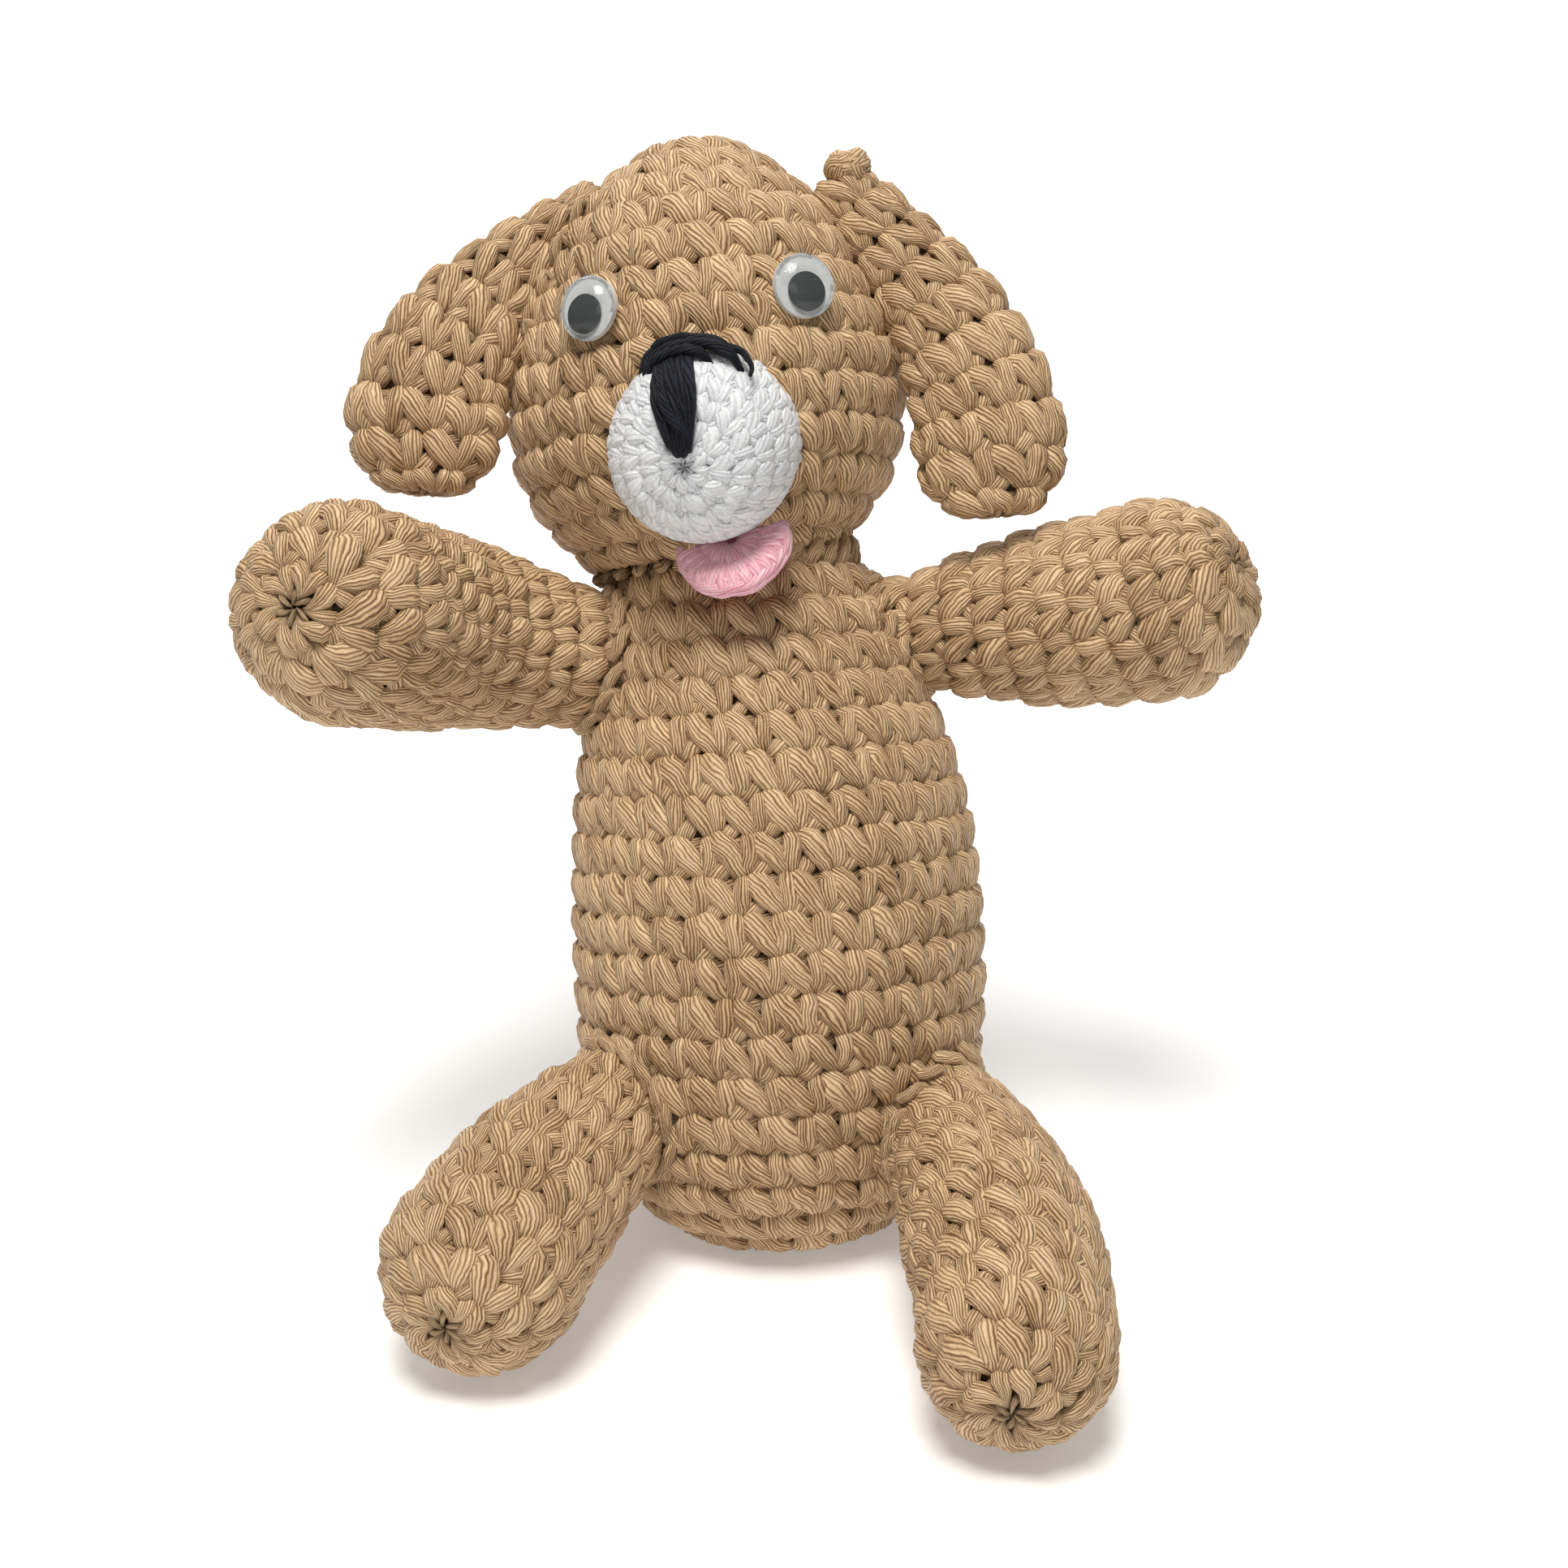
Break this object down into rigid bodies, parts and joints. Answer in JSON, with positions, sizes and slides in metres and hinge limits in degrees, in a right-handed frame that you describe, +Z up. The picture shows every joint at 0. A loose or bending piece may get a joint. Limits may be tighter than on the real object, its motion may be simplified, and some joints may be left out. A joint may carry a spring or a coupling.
{
  "type": "crocheted stuffed toy dog",
  "caption": "Crocheted stuffed dog that sits up, with hanging ears, wobble eyes, a crowned white muzzle, stitched nose, tongue and sewn-on limbs.",
  "frame": {"origin": "centre of the flat patch under the body that the toy sits on", "axes": "+Z up; the toy faces -Y; +X towards its own left hand"},
  "size_m": [0.1586, 0.1434, 0.1732],
  "materials": {
    "beige_yarn": "matte mercerised cotton yarn, single crochet",
    "white_yarn": "fine white acrylic yarn, single crochet",
    "black_yarn": "black yarn, satin stitches",
    "pink_yarn": "pink acrylic yarn, crochet",
    "fibre_fill": "loose polyester fibre",
    "clear_dome": "clear moulded plastic",
    "eye_white": "white backing disc",
    "pupil_black": "black plastic disc",
    "clear_glue": "set hot glue"
  },
  "bodies": {
    "torso": {"body_cover": "beige_yarn", "body_stuffing": "fibre_fill"},
    "neck": {"neck_seam_yarn": "beige_yarn"},
    "head": {"head_cover": "beige_yarn", "head_stuffing": "fibre_fill", "muzzle_cover": "white_yarn", "muzzle_stuffing": "fibre_fill", "muzzle_seam_yarn": "white_yarn", "nose_line_stitch": "black_yarn", "nose_top_stitch": "black_yarn", "eye_right_back": "eye_white", "eye_right_dome": "clear_dome", "eye_right_glue": "clear_glue", "eye_left_back": "eye_white", "eye_left_dome": "clear_dome", "eye_left_glue": "clear_glue"},
    "tongue": {"tongue": "pink_yarn"},
    "pupil_right": {"eye_right_pupil": "pupil_black"},
    "pupil_left": {"eye_left_pupil": "pupil_black"},
    "arm_right": {"arm_right_cover": "beige_yarn", "arm_right_stuffing": "fibre_fill", "arm_right_seam_yarn": "beige_yarn"},
    "arm_left": {"arm_left_cover": "beige_yarn", "arm_left_stuffing": "fibre_fill", "arm_left_seam_yarn": "beige_yarn"},
    "leg_right": {"leg_right_cover": "beige_yarn", "leg_right_stuffing": "fibre_fill", "leg_right_seam_yarn": "beige_yarn"},
    "leg_left": {"leg_left_cover": "beige_yarn", "leg_left_stuffing": "fibre_fill", "leg_left_seam_yarn": "beige_yarn"},
    "ear_right": {"ear_right_cover": "beige_yarn", "ear_right_stuffing": "fibre_fill", "ear_right_seam_yarn": "beige_yarn"},
    "ear_left": {"ear_left_cover": "beige_yarn", "ear_left_stuffing": "fibre_fill", "ear_left_seam_yarn": "beige_yarn"}
  },
  "joints": [
    {"name": "neck_turn", "type": "hinge", "parent": "torso", "child": "neck", "pos_m": [-0.00467, 0.02509, 0.09363], "axis": [-0.0748, 0.2581, 0.9632], "range_deg": [-20, 20], "stiffness_Nm_per_rad": 0.4},
    {"name": "neck_nod", "type": "hinge", "parent": "neck", "child": "head", "pos_m": [-0.00467, 0.02509, 0.09363], "axis": [1, 0, 0], "range_deg": [-8, 8], "stiffness_Nm_per_rad": 1},
    {"name": "ear_right_lift", "type": "hinge", "parent": "head", "child": "ear_right", "pos_m": [-0.03803, 0.03326, 0.15671], "axis": [0, 1, 0], "range_deg": [0, 70]},
    {"name": "ear_left_lift", "type": "hinge", "parent": "head", "child": "ear_left", "pos_m": [0.01756, 0.03368, 0.15876], "axis": [0, -1, 0], "range_deg": [0, 70]},
    {"name": "arm_right_swing", "type": "hinge", "parent": "torso", "child": "arm_right", "pos_m": [-0.031, 0.019, 0.092], "axis": [0, -1, 0], "range_deg": [0, 35], "stiffness_Nm_per_rad": 0.3},
    {"name": "arm_left_swing", "type": "hinge", "parent": "torso", "child": "arm_left", "pos_m": [0.0218, 0.024, 0.0935], "axis": [0, 1, 0], "range_deg": [0, 30], "stiffness_Nm_per_rad": 0.3},
    {"name": "leg_right_lift", "type": "hinge", "parent": "torso", "child": "leg_right", "pos_m": [-0.0295, -0.01, 0.026], "axis": [-1, 0, 0], "range_deg": [-15, 35], "stiffness_Nm_per_rad": 0.3},
    {"name": "leg_left_lift", "type": "hinge", "parent": "torso", "child": "leg_left", "pos_m": [0.036, -0.008, 0.024], "axis": [-1, 0, 0], "range_deg": [-15, 35], "stiffness_Nm_per_rad": 0.3},
    {"name": "tongue_flap", "type": "hinge", "parent": "head", "child": "tongue", "pos_m": [-0.0061, 0.0046, 0.1131], "axis": [0.9564, 0, 0.2921], "range_deg": [0, 18], "stiffness_Nm_per_rad": 0.004},
    {"name": "pupil_right_roll", "type": "hinge", "parent": "head", "child": "pupil_right", "pos_m": [-0.02785, 0.01056, 0.14823], "axis": [-0.5094, -0.8152, 0.2756], "continuous": true},
    {"name": "pupil_left_roll", "type": "hinge", "parent": "head", "child": "pupil_left", "pos_m": [0.00428, 0.01245, 0.15139], "axis": [0.3868, -0.8688, 0.309], "continuous": true}
  ]
}
